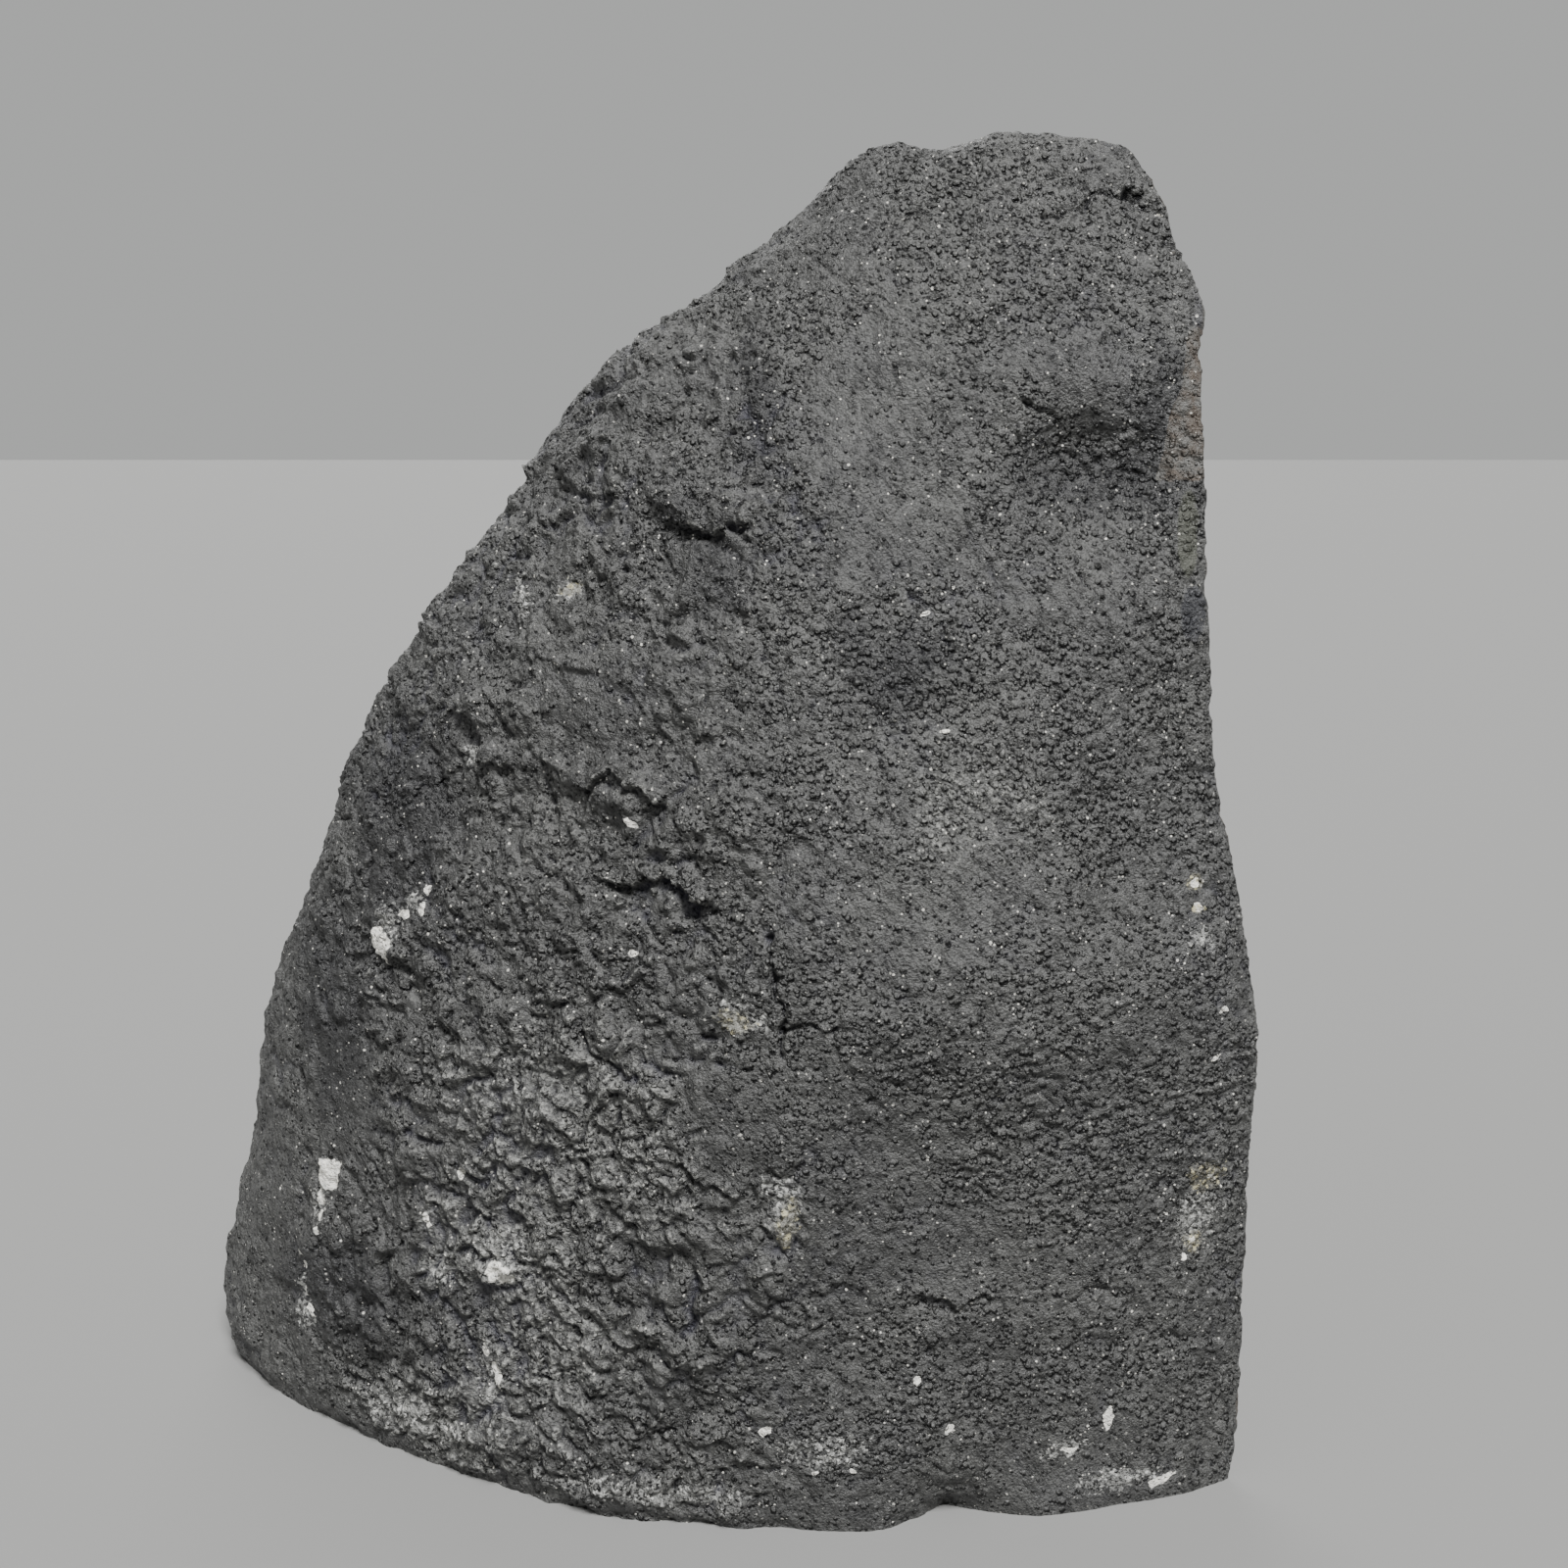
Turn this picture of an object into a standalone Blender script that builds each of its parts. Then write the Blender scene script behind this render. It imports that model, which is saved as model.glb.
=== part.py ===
"""A rough dark stone, split along its right side and sawn flat underneath, so that it stands upright.

X runs from left to right, Y from the weathered front to the back and Z up, in metres. The origin is
the middle of the bottom of the bounding box, which lies in the plane of the saw cut.
"""

from collections import namedtuple
from math import cos, exp, pi, sin

import bmesh
import bpy
from mathutils import Vector, noise

MM = 0.001

# Overall sizes of the body, before its surface is roughened.
WIDTH = 185 * MM
DEPTH = 110 * MM
HEIGHT = 220 * MM

# The shape of a level section: 1 would be a straight flank, 2 an ellipse. The split face is hollow,
# though nowhere by more than a share of its own width, and it looks back and to the right.
FRONT_ROUNDNESS = 1.5
BACK_ROUNDNESS = 2.2
SPLIT_FACE_HOLLOW = 2.5 * MM
MOST_HOLLOW_SHARE = 0.1
SPLIT_DIRECTION = Vector((1, 1, 0)).normalized()

# A boss high on the right of the front, the deep hollow below it and the crease that crosses the left.
KNOB_RADIUS = 9 * MM
KNOB_RISE = 3.5 * MM
HOLLOW_RADIUS = 11 * MM
HOLLOW_DEPTH = 4.5 * MM
CREASE_WIDTH = 5 * MM
CREASE_DEPTH = 2.2 * MM

# A swelling that crosses the lower right, and a nub on the left flank.
BELLY_HALF_HEIGHT = 17 * MM
BELLY_RISE = 2.6 * MM
NUB_RADIUS = 6 * MM
NUB_RISE = 2.5 * MM

# The saddle between the two humps of the crest, and a chip out of the front edge of the base.
SADDLE_HALF_WIDTH = 4.5 * MM
SADDLE_DEPTH = 3 * MM
CHIP_RADIUS = 6 * MM
CHIP_DEPTH = 6 * MM

# Two shallow scoops that the split left in its face.
SCOOP_RADIUS = 30 * MM
SCOOP_DEPTH = 4 * MM

# Roughness of the whole skin, as (size of a lump, its height).
COARSE_LUMPS = (26 * MM, 1.6 * MM)
FINE_LUMPS = (10 * MM, 0.7 * MM)

# How finely the body is divided: rings between two sections, and points on each stretch of a ring.
RINGS_PER_SECTION = 3
FRONT_LEFT_POINTS = 24
FRONT_RIGHT_POINTS = 16
SPLIT_FACE_POINTS = 22
BACK_POINTS = 20

STONE_COLOUR = (0.085, 0.085, 0.082, 1)
STONE_ROUGHNESS = 0.88
SHARP_EDGE = pi / 4

# Level sections of the body from below the saw cut to the crest. Heights are shares of HEIGHT, and
# the four places on each section are shares of WIDTH and DEPTH from the middle of the body: its left
# end, its foremost point, the sharp rim on its right and the corner where the split face meets the back.
Section = namedtuple("Section", "height left front rim back")
SECTIONS = (
    Section(-0.064, (-0.465, 0.020), (0.085, -0.482), (0.487, -0.368), (0.020, 0.432)),
    Section(0.000, (-0.493, 0.018), (0.074, -0.500), (0.493, -0.368), (0.020, 0.450)),
    Section(0.064, (-0.506, 0.030), (0.074, -0.500), (0.496, -0.368), (0.014, 0.468)),
    Section(0.182, (-0.477, 0.036), (0.085, -0.500), (0.490, -0.368), (0.004, 0.486)),
    Section(0.341, (-0.429, 0.032), (0.095, -0.500), (0.485, -0.368), (-0.007, 0.495)),
    Section(0.432, (-0.386, 0.023), (0.106, -0.491), (0.471, -0.359), (-0.002, 0.486)),
    Section(0.523, (-0.337, 0.014), (0.112, -0.459), (0.455, -0.341), (0.009, 0.468)),
    Section(0.614, (-0.286, 0.005), (0.117, -0.414), (0.440, -0.323), (0.031, 0.432)),
    Section(0.727, (-0.184, -0.005), (0.139, -0.350), (0.431, -0.295), (0.074, 0.377)),
    Section(0.818, (-0.113, -0.023), (0.171, -0.286), (0.429, -0.259), (0.117, 0.314)),
    Section(0.882, (-0.010, -0.032), (0.204, -0.232), (0.435, -0.223), (0.160, 0.259)),
    Section(0.936, (0.079, -0.050), (0.236, -0.186), (0.412, -0.177), (0.204, 0.205)),
    Section(0.977, (0.133, -0.059), (0.263, -0.141), (0.388, -0.132), (0.241, 0.141)),
    Section(0.997, (0.180, -0.068), (0.279, -0.114), (0.360, -0.105), (0.263, 0.068)),
    Section(1.004, (0.285, -0.068), (0.285, -0.068), (0.285, -0.068), (0.285, -0.068)),
)

# Places of the features in the front view, as shares of WIDTH from the middle and of HEIGHT.
KNOB_PLACE = (0.327, 0.818)
HOLLOW_PLACE = (0.342, 0.768)
CREASE_COURSE = ((-0.245, 0.540), (-0.112, 0.515), (0.010, 0.472))
BELLY_PLACE = (0.300, 0.400)
BELLY_HALF_LENGTH_SHARE = 0.260
NUB_PLACE = (-0.315, 0.590)
SADDLE_PLACE = 0.224
CHIP_PLACE = (0.236, 0.000)
SCOOP_PLACES = (((0.250, 0.050), 0.560), ((0.270, 0.020), 0.200))


def blend_of_four(before, start, end, after, share):
    """The Catmull-Rom curve from start to end, for numbers or vectors."""
    return 0.5 * (
        2 * start
        + (end - before) * share
        + (2 * before - 5 * start + 4 * end - after) * share**2
        + (3 * start - before - 3 * end + after) * share**3
    )


def section_values(section):
    """A section as one vector of nine lengths."""
    values = [section.height * HEIGHT]
    for across, back in (section.left, section.front, section.rim, section.back):
        values += [across * WIDTH, back * DEPTH]
    return Vector(values)


def section_between(index, share):
    """The nine lengths at a share of the way from one section to the next."""
    last = len(SECTIONS) - 1
    around = [SECTIONS[min(max(index + step, 0), last)] for step in (-1, 0, 1, 2)]
    return blend_of_four(*(section_values(section) for section in around), share)


def arc(start, end, roundness, points):
    """Points from start towards end, on a quarter of a superellipse that leaves start along Y."""
    for step in range(points):
        angle = pi / 2 * step / points
        across = 1 - cos(angle) ** (2 / roundness)
        along = sin(angle) ** (2 / roundness)
        yield Vector((start.x + (end.x - start.x) * across, start.y + (end.y - start.y) * along))


def split_face(rim, corner):
    """Points along the slightly hollow face from the rim to the back corner."""
    inwards = Vector((rim.y - corner.y, corner.x - rim.x)).normalized()
    hollow = min(SPLIT_FACE_HOLLOW, (corner - rim).length * MOST_HOLLOW_SHARE)
    for step in range(SPLIT_FACE_POINTS):
        share = step / SPLIT_FACE_POINTS
        yield rim.lerp(corner, share) + inwards * hollow * sin(pi * share)


def ring_points(lengths):
    """One level ring of the body, anticlockwise from its left end."""
    height = lengths[0]
    left, front, rim, back = (Vector(lengths[i : i + 2]) for i in (1, 3, 5, 7))
    flat = list(arc(left, front, FRONT_ROUNDNESS, FRONT_LEFT_POINTS))
    right_half = list(arc(rim, front, FRONT_ROUNDNESS, FRONT_RIGHT_POINTS)) + [front]
    flat += right_half[:0:-1]
    flat += split_face(rim, back)
    back_half = list(arc(left, back, BACK_ROUNDNESS, BACK_POINTS)) + [back]
    flat += back_half[:0:-1]
    return [Vector((point.x, point.y, height)) for point in flat]


def lofted_body():
    """The smooth body: rings through the sections, closed by a fan at the crest and open below."""
    mesh = bmesh.new()
    rings = []
    for step in range((len(SECTIONS) - 1) * RINGS_PER_SECTION):
        index, part = divmod(step, RINGS_PER_SECTION)
        points = ring_points(section_between(index, part / RINGS_PER_SECTION))
        rings.append([mesh.verts.new(point) for point in points])
    height, across, back = section_values(SECTIONS[-1])[:3]
    crest = mesh.verts.new((across, back, height))
    for lower, upper in zip(rings, rings[1:] + [None]):
        for i, vertex in enumerate(lower):
            after = (i + 1) % len(lower)
            above = (crest,) if upper is None else (upper[after], upper[i])
            mesh.faces.new((vertex, lower[after], *above))
    return mesh


def in_body(place):
    """A place in the front view, from shares of WIDTH and HEIGHT to lengths."""
    return Vector((place[0] * WIDTH, place[1] * HEIGHT))


def swell(distance, radius):
    """A round swelling: 1 in its middle and next to nothing past twice its radius."""
    return exp(-((distance / radius) ** 2))


def distance_to_course(place, course):
    """How far a place in the front view is from a line through several points."""
    nearest = 1.0
    for start, end in zip(course, course[1:]):
        along = end - start
        share = min(max((place - start).dot(along) / along.length_squared, 0), 1)
        nearest = min(nearest, (place - start - along * share).length)
    return nearest


def front_relief(place):
    """How far the front stands proud at a place in the front view."""
    crease = distance_to_course(place, [in_body(point) for point in CREASE_COURSE])
    belly = place - in_body(BELLY_PLACE)
    along_belly = swell(belly.x, BELLY_HALF_LENGTH_SHARE * WIDTH)
    return (
        KNOB_RISE * swell((place - in_body(KNOB_PLACE)).length, KNOB_RADIUS)
        - HOLLOW_DEPTH * swell((place - in_body(HOLLOW_PLACE)).length, HOLLOW_RADIUS)
        - CREASE_DEPTH * swell(crease, CREASE_WIDTH)
        + BELLY_RISE * swell(belly.y, BELLY_HALF_HEIGHT) * along_belly
        + NUB_RISE * swell((place - in_body(NUB_PLACE)).length, NUB_RADIUS)
        - CHIP_DEPTH * swell((place - in_body(CHIP_PLACE)).length, CHIP_RADIUS)
    )


def split_relief(point):
    """How far the scoops sink the split face at a point."""
    depth = 0.0
    for (across, back), up in SCOOP_PLACES:
        middle = Vector((across * WIDTH, back * DEPTH, up * HEIGHT))
        depth += SCOOP_DEPTH * swell((point - middle).length, SCOOP_RADIUS)
    return -depth


def roughness(point):
    """The height of the lumps at a point."""
    return sum(height * noise.noise(point / size) for size, height in (COARSE_LUMPS, FINE_LUMPS))


def carve(mesh):
    """Gives the smooth body its features, its saddle and its rough skin."""
    mesh.normal_update()
    moves = []
    for vertex in mesh.verts:
        point, normal = vertex.co, vertex.normal
        towards_front = max(-normal.y, 0.0)
        towards_split = max(normal.dot(SPLIT_DIRECTION), 0.0)
        relief = roughness(point)
        relief += towards_front * front_relief(Vector((point.x, point.z)))
        relief += towards_split * split_relief(point)
        saddle = SADDLE_DEPTH * swell(point.x - SADDLE_PLACE * WIDTH, SADDLE_HALF_WIDTH)
        moves.append(normal * relief - Vector((0, 0, saddle * max(normal.z, 0.0))))
    for vertex, move in zip(mesh.verts, moves):
        vertex.co += move


def saw_base(mesh):
    """Cuts the body level at height 0 and closes the cut with one flat face."""
    everything = mesh.verts[:] + mesh.edges[:] + mesh.faces[:]
    bmesh.ops.bisect_plane(mesh, geom=everything, plane_no=(0, 0, -1), clear_outer=True)
    bmesh.ops.holes_fill(mesh, edges=[edge for edge in mesh.edges if edge.is_boundary])
    bmesh.ops.recalc_face_normals(mesh, faces=mesh.faces[:])


def centre(mesh):
    """Moves the body so that the middle of its bounding box stands over the origin."""
    for axis in (0, 1):
        values = [vertex.co[axis] for vertex in mesh.verts]
        middle = (min(values) + max(values)) / 2
        for vertex in mesh.verts:
            vertex.co[axis] -= middle


def stone_material():
    material = bpy.data.materials.new("dark_stone")
    material.use_nodes = True
    shader = material.node_tree.nodes["Principled BSDF"]
    shader.inputs["Base Color"].default_value = STONE_COLOUR
    shader.inputs["Roughness"].default_value = STONE_ROUGHNESS
    shader.inputs["Metallic"].default_value = 0.0
    return material


def make_stone():
    mesh = lofted_body()
    carve(mesh)
    saw_base(mesh)
    centre(mesh)
    data = bpy.data.meshes.new("stone")
    mesh.to_mesh(data)
    mesh.free()
    data.shade_smooth()
    data.set_sharp_from_angle(angle=SHARP_EDGE)
    data.materials.append(stone_material())
    bpy.context.scene.collection.objects.link(bpy.data.objects.new("stone", data))


for old in list(bpy.data.objects):
    bpy.data.objects.remove(old)
make_stone()
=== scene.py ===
from collections import namedtuple
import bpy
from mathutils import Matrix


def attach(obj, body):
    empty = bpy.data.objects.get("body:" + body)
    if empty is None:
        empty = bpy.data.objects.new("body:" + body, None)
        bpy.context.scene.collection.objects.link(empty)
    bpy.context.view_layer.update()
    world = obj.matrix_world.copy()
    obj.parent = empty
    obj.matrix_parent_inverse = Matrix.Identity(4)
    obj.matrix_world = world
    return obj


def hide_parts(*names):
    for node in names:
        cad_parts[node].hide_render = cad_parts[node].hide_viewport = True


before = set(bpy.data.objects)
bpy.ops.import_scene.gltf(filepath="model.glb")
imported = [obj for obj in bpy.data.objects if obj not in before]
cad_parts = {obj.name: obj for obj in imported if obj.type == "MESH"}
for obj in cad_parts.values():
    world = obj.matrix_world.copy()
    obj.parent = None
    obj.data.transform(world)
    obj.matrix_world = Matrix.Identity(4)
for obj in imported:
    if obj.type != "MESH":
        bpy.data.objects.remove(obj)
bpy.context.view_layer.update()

from concurrent.futures import ThreadPoolExecutor
from math import radians

import bmesh
import bpy
import numpy as np
from mathutils import Vector

# The looks of the rough dark stone. Shapes are worked out in millimetres in the frame of the CAD
# model: X to the right, Y from the weathered front to the back, Z up from the saw cut.
MM = 0.001
VOXEL = 0.38  # the size of the faces of the finished surface
# Points of the CAD body that are closer than this are one point.
SAME_POINT = 0.01
# Two triangles become one four-sided face when they are this nearly in one plane and this square.
FLAT_ENOUGH, SQUARE_ENOUGH = radians(30), radians(60)
SHARP_CORNER = radians(40)  # CAD edges that are sharper than this aren't rounded off
ROUNDING_LEVELS = 2
BELOW_CUT = 5.0  # how far the body goes on below the saw cut until it is sawn off
SWELL = 0.45  # the body is this much fatter while it is remeshed, which keeps its thin rim whole
EVENING, EVENING_PASSES = 0.5, 12  # takes the steps of the voxels off again
SPLIT_NORMAL = (0.72, 0.69, 0.0)  # where the split face looks
SPINE_FOOT, SPINE_TOP = (5, 0, 0), (52, -6, 195)  # a line through the middle of the body
# The way that the streaks of the skin run, and its slope, down to the right on the front.
STREAK_RUN = (0.62, 0, -0.78)
STREAK_SLOPE = radians(-51.5)
# This also sets where the painted shade and highlight of each granule fall.
TO_LIGHT = (-0.35, -0.3, 0.88)  # from a grain of the skin to the side that it is lit from


# ---------------------------------------------------------------- noise, for arrays of points

TABLE = 4096
DRAWS = np.random.default_rng(12)
SLOPES = DRAWS.normal(size=(TABLE, 3)).astype(np.float32)
SLOPES /= np.linalg.norm(SLOPES, axis=1)[:, None]
SPOTS = DRAWS.random((TABLE, 3), np.float32)
PRIMES = np.array((73856093, 19349663, 83492791), np.int32)
MIXER = np.int32(1274126177)
CHUNK = 40000
SEED_SHIFT = 17.37  # how many cells away the next whole seed reads
LAYER_SEED = 0.7  # what each finer layer adds to the seed
NOISE_GAIN = 1.9
LUMP_RATIO = 2.1  # how much finer each layer of lumps is
FAR = 9  # further than any seed of a pebble, in cells


def by_chunks(work, *arrays):
    """What work returns for the arrays, worked out in several threads on a few points at a time."""
    starts = range(0, len(arrays[0]), CHUNK)
    with ThreadPoolExecutor() as pool:
        parts = list(pool.map(lambda at: work(*(a[at : at + CHUNK] for a in arrays)), starts))
    return [np.concatenate(values) for values in zip(*parts)]


def lattice(points, size, seed):
    """The whole-numbered cell that each point is in, and its place inside that cell."""
    scaled = points / size + SEED_SHIFT * seed
    corner = np.floor(scaled)
    return corner.astype(np.int32), (scaled - corner).astype(np.float32)


def drawn(table, cells):
    """The row of a table of random vectors that belongs to each cell."""
    mixed = cells * PRIMES
    mixed = mixed[:, 0] ^ mixed[:, 1] ^ mixed[:, 2]
    mixed = (mixed ^ mixed >> 13) * MIXER
    return table[(mixed ^ mixed >> 16) & (TABLE - 1)]


def gradient_noise(points, size, seed):
    """Smooth noise from about -1 to 1 whose lumps are about as wide as size."""
    cells, inside = lattice(points, size, seed)
    weight = inside**3 * (inside * (inside * 6 - 15) + 10)
    total = np.zeros(len(points), np.float32)
    for step in np.ndindex(2, 2, 2):
        rise = ((inside - step) * drawn(SLOPES, cells + np.int32(step))).sum(axis=1)
        for axis in range(3):
            rise *= weight[:, axis] if step[axis] else 1 - weight[:, axis]
        total += rise
    return total * NOISE_GAIN


def layered_noise(points, size, seed, layers=3, fade=0.5):
    """Gradient noise with finer and lower layers on top."""
    return sum(
        fade**k * gradient_noise(points, size / 2**k, seed + LAYER_SEED * k) for k in range(layers)
    )


def lumps_of(points, size, seed, layers=4, fade=0.5):
    """Rounded lumps of several sizes with sharp creases between them, from 0 to about 1."""
    return sum(
        fade**k * np.abs(gradient_noise(points, size / LUMP_RATIO**k, seed + LAYER_SEED * k))
        for k in range(layers)
    )


def pebbles(points, size, seed):
    """(nearest, second nearest) distance to scattered seeds, in shares of size."""
    cells, inside = lattice(points, size, seed)
    nearest = np.full(len(points), FAR, np.float32)
    second = nearest.copy()
    for step in np.ndindex(3, 3, 3):
        step = np.int32(step) - 1
        off = inside - step - drawn(SPOTS, cells + step)
        distance = np.sqrt((off * off).sum(axis=1))
        second = np.minimum(second, np.maximum(nearest, distance))
        nearest = np.minimum(nearest, distance)
    return nearest, second


def ramp(values, low, high):
    """0 below low, 1 above high and smooth between."""
    share = np.clip((values - low) / (high - low), 0, 1)
    return share * share * (3 - 2 * share)


def bell(distance, radius):
    """1 at no distance, and near 0 at twice the radius."""
    return np.exp(-((distance / radius) ** 2))


# ---------------------------------------------------------------- the mesh of the stone

def smooth_copy():
    """The CAD body in even small faces, its facets rounded off and its rim and base edge kept.

    It is SWELL fatter than the CAD body, and it goes on below the saw cut.
    """
    mesh = bmesh.new()
    mesh.from_mesh(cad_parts["stone"].data)
    bmesh.ops.remove_doubles(mesh, verts=mesh.verts, dist=SAME_POINT * MM)
    bmesh.ops.join_triangles(
        mesh,
        faces=mesh.faces,
        angle_face_threshold=FLAT_ENOUGH,
        angle_shape_threshold=SQUARE_ENOUGH,
    )
    base = [face for face in mesh.faces if face.normal.z < -0.99]
    below = bmesh.ops.extrude_face_region(mesh, geom=base)["geom"]
    moved = [item for item in below if isinstance(item, bmesh.types.BMVert)]
    bmesh.ops.translate(mesh, verts=moved, vec=(0, 0, -BELOW_CUT * MM))
    mesh.normal_update()
    crease = mesh.edges.layers.float.new("crease_edge")
    for edge in mesh.edges:
        if edge.is_manifold and edge.calc_face_angle(0) > SHARP_CORNER:
            edge[crease] = 1.0
    data = bpy.data.meshes.new("stone_body")
    mesh.to_mesh(data)
    mesh.free()
    stone = bpy.data.objects.new("stone_body", data)
    bpy.context.scene.collection.objects.link(stone)
    rounded = stone.modifiers.new("rounded", "SUBSURF")
    rounded.levels = rounded.render_levels = ROUNDING_LEVELS
    swollen = stone.modifiers.new("swollen", "DISPLACE")
    swollen.strength, swollen.mid_level = SWELL * MM, 0.0
    even = stone.modifiers.new("even", "REMESH")
    even.mode = "VOXEL"
    even.voxel_size = VOXEL * MM
    soft = stone.modifiers.new("soft", "SMOOTH")
    soft.factor, soft.iterations = EVENING, EVENING_PASSES
    graph = bpy.context.evaluated_depsgraph_get()
    result = bpy.data.meshes.new_from_object(stone.evaluated_get(graph))
    bpy.data.objects.remove(stone)
    result.name = "weathered_stone"
    return result


def read(mesh, what):
    """The "co" or the "normal" of every point of the mesh, as it is stored."""
    values = np.empty(len(mesh.vertices) * 3, np.float32)
    mesh.vertices.foreach_get(what, values)
    return values.reshape(-1, 3).astype(float)


def move(mesh, points):
    """Puts the mesh's points where points says, in millimetres."""
    mesh.vertices.foreach_set("co", (points * MM).astype(np.float32).ravel())
    mesh.update()


def neighbours(mesh):
    """The two points at the ends of every edge of the mesh."""
    ends = np.empty(len(mesh.edges) * 2, np.int32)
    mesh.edges.foreach_get("vertices", ends)
    return ends.reshape(-1, 2)


def spread(values, edges, times):
    """values averaged with their neighbours' on the mesh, several times."""
    count = np.bincount(edges.ravel(), minlength=len(values))
    for _ in range(times):
        total = np.bincount(edges[:, 0], values[edges[:, 1]], len(values))
        total += np.bincount(edges[:, 1], values[edges[:, 0]], len(values))
        values = (values + total / count) / 2
    return values


# ---------------------------------------------------------------- places on the weathered front
# Each place is (x, z) in millimetres, as it is seen from the front, and so is each reach.

Crack = namedtuple("Crack", "width depth course")
Ledge = namedtuple("Ledge", "rise depth reach course")
Boss = namedtuple("Boss", "rise place reach")
Mark = namedtuple("Mark", "place reach")

CRACKS = (
    Crack(0.7, 1.6, ((56.9, 207.5), (63.4, 208.3), (65, 210.5), (71.4, 211))),
    Crack(0.7, 1.3, ((70.5, 209.9), (73, 209), (75.3, 208))),
    Crack(0.6, 0.9, ((73.5, 213.2), (75.5, 212.6))),
    Crack(0.7, 1.2, ((42, 203.3), (44.5, 202.6), (47, 202.9))),
    Crack(0.7, 1.1, ((52.5, 178.8), (55, 177), (57.5, 176.3))),
    Crack(2.4, 1.1, ((9, 186), (10.5, 176), (16.5, 166.5), (21, 159.5))),
    Crack(0.7, 1.2, ((-8, 152.5), (-5, 151.5))),
    Crack(0.7, 1.5, ((13.5, 100), (14, 97.5), (15, 94.5), (15.5, 89.5), (16.5, 82))),
    Crack(0.6, 0.7, ((3.5, 83), (8.5, 84.5), (12, 83.5))),
    Crack(0.6, 1.2, ((16, 85.5), (20, 87), (24, 86.5))),
    Crack(0.5, 1.0, ((7, 79.5), (10.5, 79.5), (14, 81))),
    Crack(0.5, 0.8, ((-28, 116), (-22, 109), (-18, 104))),
    Crack(0.5, 0.7, ((36, 150), (41, 143), (44, 137))),
    Crack(0.5, 0.7, ((44, 160), (49, 150))),
    Crack(0.6, 0.8, ((62, 152), (66, 146), (67, 141))),
    Crack(1.4, 1.5, ((-50, 87), (-44, 82), (-40, 78.5), (-36.5, 74))),
    Crack(0.8, 0.9, ((-70, 66), (-69, 55), (-69, 44), (-71, 36))),
)
LEDGES = (
    Ledge(1.0, 1.7, 3.2, ((-9.6, 105.3), (-6, 106.3), (-2.4, 106.5), (2.2, 104))),
    Ledge(0.9, 1.3, 3.0, ((1, 160), (3, 159.5), (6, 158.5), (9, 160))),
    Ledge(0.6, 0.7, 3.0, ((-16, 165), (-13, 163.5))),
    Ledge(0.9, 1.1, 3.0, ((-14, 119.5), (-9.5, 122), (-5, 120.5), (-3.5, 117.5))),
    Ledge(0.6, 0.5, 3.0, ((-22, 139), (-19, 137), (-15, 137))),
    Ledge(0.7, 1.0, 3.0, ((-36, 128), (-31, 122), (-28, 121))),
    Ledge(0.5, 0.9, 2.2, ((0.8, 62.6), (3.4, 60.3), (8.6, 59.6), (10.2, 61.2))),
    Ledge(0.6, 0.8, 2.5, ((38, 41.5), (43, 39), (48, 41))),
)
BOSSES = (
    Boss(1.2, (-13, 173), (4, 3)),
    Boss(1.3, (-1, 166), (5, 4)),
    Boss(1.3, (8, 163), (4, 3.5)),
    Boss(1.0, (-7, 178), (3.5, 3)),
    Boss(1.2, (-9.5, 119), (5, 4)),
    Boss(1.2, (-2, 108), (6, 4)),
    Boss(0.8, (-15, 42), (6, 5)),
    Boss(0.7, (1, 53), (6, 5)),
    Boss(0.9, (-5, 64), (4, 4)),
    Boss(1.0, (-21, 68), (5, 4)),
    Boss(1.0, (-34, 41), (6, 5)),
    Boss(-1.0, (-28.5, 48.5), (2.5, 2)),
    Boss(-0.8, (-39, 37), (2.5, 2)),
    Boss(-0.9, (70.5, 208), (1.5, 1.2)),
    Boss(-0.9, (-27, 92), (7, 5)),
    Boss(-1.0, (30, 131), (12, 7)),
    Boss(-2.0, (63, 169), (13, 6)),
)
SMOOTH_SPOTS = (
    Mark((7.5, 65), (7, 5)),
    Mark((7, 74), (8, 6)),
    Mark((44, 48), (7, 7)),
    Mark((60, 183), (8, 7)),
    Mark((64, 9), (13, 9)),
    Mark((38, 101), (13, 8)),
    Mark((30, 180), (9, 16)),
    Mark((33, 160), (10, 8)),
    Mark((-14, 135), (9, 9)),
    Mark((-80, 35), (10, 34)),
    Mark((-60, 62), (10, 12)),
)
GRAINY_SPOTS = (
    Mark((57, 168), (15, 9)),
    Mark((32, 139), (16, 9)),
    Mark((50, 125), (14, 10)),
    Mark((22, 90), (14, 10)),
    Mark((60, 62), (16, 12)),
    Mark((55, 200), (16, 10)),
)
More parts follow.
